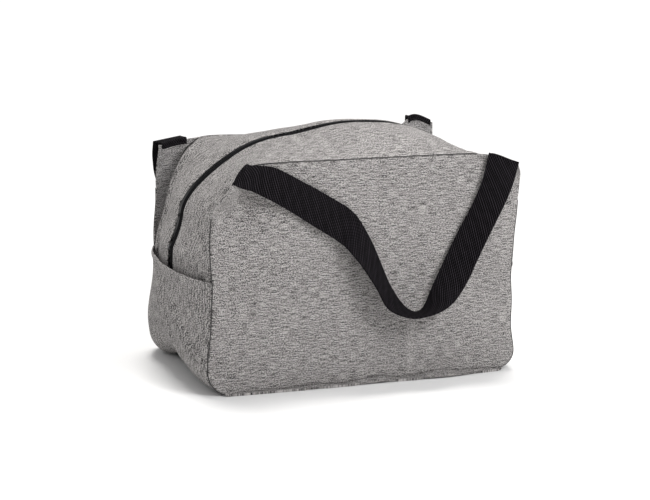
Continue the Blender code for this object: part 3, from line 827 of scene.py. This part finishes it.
def make_ends(mirror, hand):
    """A slip pocket and the gusset behind it, each in two halves."""
    depth = np.linspace(-1, 1, 97)
    depth = np.unique(np.concatenate([depth, [-0.993, 0.993]]))
    pocket, pocket_uv, z = end_points(mirror, HEM_HEIGHT + 0.0006, 0.0195, depth, folds=True)
    normals = grid_normals(pocket, POCKET_INSIDE)
    line_dent = 0.0005 * hill(z, HEM_HEIGHT - 0.0062, 0.0009)
    above = z - HEM_HEIGHT
    roll = 0.0014 * smooth((above + 0.0092) / 0.006) - 0.0009 * smooth((above + 0.001) / 0.0012)
    tuck = 0.0022 * np.clip(1 - (1 - np.abs(depth)) * HALF_DEPTH / 0.003, 0, 1)[None, :] ** 2
    pocket = pocket + normals * (roll - line_dent - tuck)[..., None]
    gusset, gusset_uv, _ = end_points(mirror, HEM_HEIGHT - 0.012, 0.0130, depth, folds=False)
    row = np.argmin(np.abs(z[:, 0] - (HEM_HEIGHT - 0.0062)))
    for side, word in SIDES:
        keep = split_depth(depth, side)
        made = cloth(f"{hand}_pocket_{word}", pocket[:, keep], pocket_uv[:, keep], grey, POCKET_INSIDE)
        if side == FRONT:
            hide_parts(f"{hand}_side_pocket", f"{hand}_side_gusset")
        follow_halves(made)
        uv = gusset_uv[:, keep] + 0.2
        made = cloth(f"{hand}_gusset_{word}", gusset[:, keep], uv, grey, POCKET_INSIDE, set_in=0.0022)
        follow_halves(made)
        inset = keep & (np.abs(depth) < 0.985)
        made = stitches(f"{hand}_hem_stitch_{word}", pocket[row, inset], normals[row, inset], grey_thread)
        follow_halves(made)


def make_bottom():
    """The base cloth: it stands proud of the front and back seams and rolls under on to the ground."""
    x = np.linspace(-0.158, 0.158, 127)
    into_corner = np.clip(np.abs(x) - HALF_WIDTH + BASE_CORNER, 0, BASE_CORNER)
    lift = BASE_CORNER - np.sqrt(BASE_CORNER**2 - into_corner**2)
    rows = []
    for at, up in zip(x, lift):
        section = []
        for side, bulge in ((FRONT, 0.0062 + 0.0060 * hill(at, 0.092, 0.030)), (BACK, 0.005)):
            seam = panel_point(side, at, up)
            proud = bulge * math.cos(at / 0.158 * math.pi / 2) ** 0.5 + 0.0005
            out = side * seam[1]
            half = [
                (out - 0.0040, seam[2] + 0.0025),
                (out - 0.0016, seam[2] + 0.0010),
                (out + proud * 0.75, between(seam[2], up, 0.30)),
                (out + proud, between(seam[2], up, 0.72) + 0.0006),
                (out + proud * 0.55, up + 0.0006),
                (out - 0.012, up + 0.0004),
                (out - 0.055, up + 0.0010 + 0.0004 * math.sin(at * 60)),
            ]
            section.append([(side * y, z) for y, z in half])
        line = spline(section[0] + section[1][::-1], 6)
        rows.append(np.column_stack([np.full(len(line), at), line]))
    points = np.array(rows)
    uv = np.stack([points[..., 0], np.array([lengths_along(row) for row in points])], -1) + 0.9
    points[..., 2] = np.maximum(points[..., 2] + base_lift(points[..., 0], points[..., 1]), 0.0014)
    made = cloth("bottom_cloth", points, uv, grey, behind=INSIDE, thickness=0.0012)
    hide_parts("bottom_panel")
    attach(made, "root")


def zip_frames(count):
    """Points on the zip's line with directions along it and out of the bag."""
    line = zip_line(count)
    points = np.stack([line[:, 0], np.zeros(count), line[:, 1]], 1)
    tangent = unit(np.gradient(points, axis=0))
    out = unit(np.cross(tangent, np.array([0, 1.0, 0])))
    if out[count // 2, 2] < 0:
        out = -out
    return points, tangent, out


def make_zip(side, word):
    """One tape with its coil: the cloth's edge covers the tape, and the coil's turns show in the gap."""
    count = 260
    middle, tangent, out = zip_frames(count)
    across = np.array([0.0030, 0.0036, 0.0044, 0.0056, 0.0078, 0.0100, 0.0150])
    drop = np.array([0.0000, -0.0005, -0.0005, -0.0002, 0.0008, 0.0024, 0.0030])
    points = middle[:, None] + np.array([0, side, 0]) * across[None, :, None]
    points = points - out[:, None] * drop[None, :, None]
    reach = lengths_along(middle)
    uv = np.stack([np.repeat(reach[:, None], len(across), 1), across[None, :] + 0 * reach[:, None]], -1)
    tape = cloth(f"zip_tape_{word}", points, uv, tape_black, (0, 0, ZIP_CENTRE_HEIGHT), thickness=0.0006)
    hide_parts(f"zip_tape_{word}")
    follow_halves(tape)
    pitch = 0.0013
    turns = int(reach[-1] / pitch)
    packed = even(np.concatenate([middle, tangent, out], 1), turns)
    shift = 0.25 * pitch * side
    centres = packed[:, :3] + unit(packed[:, 3:6]) * shift + np.array([0, side * 0.0015, 0])
    centres = centres - unit(packed[:, 6:]) * 0.0003
    across_y = np.tile([0.0, 1.0, 0.0], (turns, 1))
    along, over = unit(packed[:, 3:6]), unit(packed[:, 6:])
    coil = lugs(f"zip_coil_{word}", centres, across_y, along, over, (0.0021, 0.00050, 0.0009), coil_black)
    nodes = [f"zip_coil_{word}"] + (["zip_left_end", "zip_right_end"] if side == FRONT else [])
    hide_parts(*nodes)
    follow_halves(coil)


# Front handle at rest: where its upper or inner edge and its lower or outer edge run, in mm
FRONT_HANDLE = [
    ((-134, -129.5, 243.0), (-157, -144.5, 227.0)),
    ((-119, -129.0, 241.5), (-146, -139.0, 221.5)),
    ((-104, -125.0, 238.0), (-129, -129.0, 215.0)),
    ((-76, -123.5, 223.0), (-95, -124.0, 196.0)),
    ((-45, -123.5, 205.0), (-63, -124.5, 175.0)),
    ((-19, -123.5, 187.0), (-36, -127.0, 157.0)),
    ((-2, -125.5, 160.0), (-27, -137.0, 147.0)),
    ((9, -128.0, 134.0), (-15, -146.0, 130.0)),
    ((20, -128.0, 108.0), (-2, -149.0, 109.0)),
    ((33, -128.0, 88.0), (9, -149.0, 89.0)),
    ((45, -127.5, 78.0), (25, -151.0, 79.0)),
    ((55, -127.5, 77.5), (42, -154.5, 76.5)),
    ((62, -127.5, 86.0), (64, -156.0, 80.5)),
    ((69, -127.0, 102.0), (84, -150.0, 88.5)),
    ((79, -125.5, 121.0), (103, -142.0, 107.0)),
    ((90, -124.5, 142.0), (114, -142.0, 129.0)),
    ((103, -123.5, 165.0), (126, -145.0, 156.0)),
    ((117, -122.0, 188.0), (141, -145.0, 184.0)),
    ((128, -122.0, 213.0), (154.5, -141.0, 208.0)),
    ((135, -122.5, 242.0), (164, -136.5, 232.5)),
]
BACK_HANDLE = [
    ((-137, 121.5, 243.0), (-169.0, 120.5, 238.0)),
    ((-138, 122.5, 222.0), (-169.5, 122.0, 218.0)),
    ((-133, 123.0, 197.0), (-164, 124.0, 190.0)),
    ((-113, 123.0, 160.0), (-139, 129.0, 143.0)),
    ((-84, 123.5, 128.0), (-104, 135.0, 106.0)),
    ((-46, 124.0, 104.0), (-54, 144.0, 82.0)),
    ((0, 124.5, 96.0), (2, 147.5, 75.0)),
    ((46, 124.0, 104.0), (56, 144.0, 83.0)),
    ((84, 123.5, 130.0), (105, 135.0, 108.0)),
    ((113, 123.5, 164.0), (140, 130.0, 148.0)),
    ((133, 125.0, 200.0), (164, 127.0, 194.0)),
    ((140, 126.0, 226.0), (172, 127.0, 220.0)),
    ((142, 126.5, 255.0), (174, 127.5, 247.5)),
]


def ribbon(name, inner, outer, material, behind, seed, uv_from=0.0):
    """Webbing between its two edges, slightly cupped."""
    share = np.array([0, 0.02, 0.06, 0.12, 0.25, 0.38, 0.5, 0.62, 0.75, 0.88, 0.94, 0.98, 1.0])
    points = between(inner[:, None], outer[:, None], share[None, :, None])
    middle = (inner + outer) / 2
    reach = lengths_along(middle) + uv_from
    along = np.repeat(reach[:, None], len(share), 1)
    uv = np.stack([along, share[None, :] * WEBBING_WIDTH + 0 * along], -1)
    normals = grid_normals(points, behind)
    cup = 0.0008 * np.sin(share * math.pi)[None, :] + 0.0003 * ripple(uv[..., 0], uv[..., 1], 0.06, seed)
    points = points + normals * cup[..., None]
    return cloth(name, points, uv, material, behind, thickness=WEBBING, set_in=-WEBBING / 2)


def make_handle(side, word, stations):
    """A handle in two runs that meet at its lowest point."""
    edges = spline(np.array(stations) / 1000, 8)
    low = int(np.argmin(edges[:, :, 2].mean(1)))
    behind = INSIDE
    for part, hand in ((slice(0, low + 1), "left"), (slice(low, None), "right")):
        run = edges[part] if hand == "left" else edges[part][::-1]
        name = f"{word}_handle_{hand}_run"
        made = ribbon(name, run[:, 0], run[:, 1], webbing_black, behind, 70 + side)
        root = run[0].mean(0)
        width = unit(run[0, 1] - run[0, 0])
        ahead = unit(run[12].mean(0) - root)
        ahead = unit(ahead - (ahead @ width) * width)
        if hand == "left":
            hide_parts(f"{word}_handle")
        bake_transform(made)
        make_handle_end(side, word, hand, run[0])


def make_handle_end(side, word, hand, root):
    """Where a handle is sewn on: the webbing comes up inside the wing, over its top edge, and off it."""
    mirror = -1 if hand == "left" else 1
    flat_x = mirror * np.linspace(0.1410, HALF_WIDTH - 0.0034, 13)
    lip, inside = 0.0046, CLOTH + 0.0020
    top = panel_point(side, flat_x, np.full(13, PANEL_TOP))
    below = panel_point(side, flat_x, np.full(13, PANEL_TOP - lip))
    down = unit(below - top)
    along = unit(np.gradient(top, axis=0))
    out = unit(np.cross(along, down))
    if np.mean(out[:, 1]) * side < 0:
        out = -out
    share = np.linspace(0, 1, 13)[:, None]
    landing = between(root[0], root[1], share)
    rows = [
        top + down * lip - out * inside,
        top + down * lip * 0.5 - out * inside,
        top + down * 0.0006 - out * inside,
        top - down * 0.0012 - out * (inside - 0.0010),
        top - down * 0.0016 - out * 0.0003,
        between(top - down * 0.0010 + out * 0.0008, landing, 0.5),
        landing,
    ]
    line = spline(rows, 4)
    reach = lengths_along(line.mean(1))
    uv = np.stack(
        [np.repeat(reach[:, None], 13, 1) + 0.6, np.repeat(share.T * WEBBING_WIDTH, len(reach), 0)], -1
    )
    centre = tuple(top.mean(0) + np.array([0, 0, -0.004]))
    name = f"{word}_{hand}_handle_end"
    made = cloth(name, line, uv, webbing_black, centre, thickness=WEBBING, set_in=-WEBBING / 2)
    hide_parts(f"{word}_handle_{hand}_end")
    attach(made, f"{word}_half")
    seam_line = top + down * lip * 0.55 - out * (inside + WEBBING * 0.75)
    name = f"{word}_{hand}_handle_stitch"
    made = stitches(name, seam_line, -out, black_thread, pitch=0.0028, length=0.0021)
    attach(made, f"{word}_half")


def dress_metal():
    """The slider, its pull tab and the stops keep their CAD shape, with softened edges and paint."""
    for node in ("zip_slider", "zip_pull_tab", "zip_left_stop", "zip_right_stop"):
        piece = frame["nodes"][node]
        piece.data.materials.clear()
        piece.data.materials.append(metal)
        edge = piece.modifiers.new("softened", "BEVEL")
        edge.width = 0.00018
        edge.segments = 2
        edge.limit_method = "ANGLE"


# Studio


def aim(thing, target):
    thing.rotation_euler = (Vector(target) - thing.location).to_track_quat("-Z", "Y").to_euler()


def make_light(name, kind, place, target, power, colour=(1, 1, 1)):
    data = bpy.data.lights.new(name, kind)
    data.energy = power
    data.color = colour
    made = bpy.data.objects.new(name, data)
    made.location = place
    bpy.context.scene.collection.objects.link(made)
    aim(made, target)
    return data


def make_studio():
    scene = bpy.context.scene
    scene.view_settings.view_transform = "Standard"
    world = bpy.data.worlds.new("studio")
    world.use_nodes = True
    world.node_tree.nodes["Background"].inputs["Color"].default_value = (1, 1, 1, 1)
    world.node_tree.nodes["Background"].inputs["Strength"].default_value = 0.55
    scene.world = world
    overhead = make_light("overhead", "SUN", (0.07, 0.25, 0.97), (0, 0, 0), 2.60, (1.0, 0.985, 0.965))
    overhead.angle = math.radians(26)
    front = make_light("front_softbox", "AREA", (0.34, -0.84, 0.66), (0, -0.1, 0.12), 6.5)
    front.shape = "DISK"
    front.size = 0.45

    paper = bpy.data.materials.new("pale_floor")
    paper.use_nodes = True
    shader = paper.node_tree.nodes["Principled BSDF"]
    shader.inputs["Base Color"].default_value = (0.82, 0.82, 0.82, 1)
    shader.inputs["Roughness"].default_value = 0.9
    shader.inputs["Specular IOR Level"].default_value = 0.1
    mesh = bpy.data.meshes.new("floor")
    reach = 40.0
    corners = [(x * reach, y * reach, 0) for x, y in ((-1, -1), (1, -1), (1, 1), (-1, 1))]
    mesh.from_pydata(corners, [], [(0, 1, 2, 3)])
    mesh.materials.append(paper)
    floor = bpy.data.objects.new("floor", mesh)
    scene.collection.objects.link(floor)


def make_camera():
    """The camera stands to the left of the front, a little above the bag, about 1.9 m away."""
    azimuth, elevation, distance = math.radians(-20.0), math.radians(10.89), 1.885
    target = Vector((-0.0472, -0.1137, 0.1475))
    level = math.cos(elevation)
    back = Vector((math.sin(azimuth) * level, -math.cos(azimuth) * level, math.sin(elevation)))
    data = bpy.data.cameras.new("camera")
    data.lens = 100
    data.sensor_width = 36
    camera = bpy.data.objects.new("camera", data)
    camera.location = target + back * distance
    camera.rotation_euler = (-back).to_track_quat("-Z", "Y").to_euler()
    bpy.context.scene.collection.objects.link(camera)
    bpy.context.scene.camera = camera


grey = melange("melange", (0.292, 0.279, 0.274), 0.92)
grey_facing = melange("melange_facing", (0.300, 0.290, 0.288), 0.85)
webbing_black = woven_black("webbing", (0.0062, 0.0054, 0.0065), 0.70, 0.0021, math.radians(52), 0.00022)
tape_black = woven_black("zip_tape", (0.006, 0.006, 0.0065), 0.8, 0.0009, math.radians(0), 0.00010)
binding_black = woven_black("seam_binding", (0.045, 0.045, 0.047), 0.85, 0.0010, math.radians(90), 0.00010)
coil_black = nylon_coil("zip_coil", (0.008, 0.008, 0.0085))
metal = painted_metal("zip_metal", (0.022, 0.022, 0.024))
# Dark cords along the seams: painted shade standing for the shadow in the seam grooves
seam_shade_cord = spun_thread("seam_shade_cord", (0.030, 0.029, 0.029))
grey_thread = spun_thread("grey_thread", (0.08, 0.076, 0.074))
black_thread = spun_thread("black_thread", (0.010, 0.010, 0.011))

make_camera()
make_studio()
make_bottom()
for mirror, hand in HANDS:
    make_ends(mirror, hand)
for side, word in SIDES:
    make_panel(side, word)
    make_strip(side, word)
    make_wing_facings(side, word)
    make_seam_shade_cords(side, word)
    make_seam_bindings(side, word)
    make_zip(side, word)
    make_handle(side, word, FRONT_HANDLE if side == FRONT else BACK_HANDLE)
dress_metal()
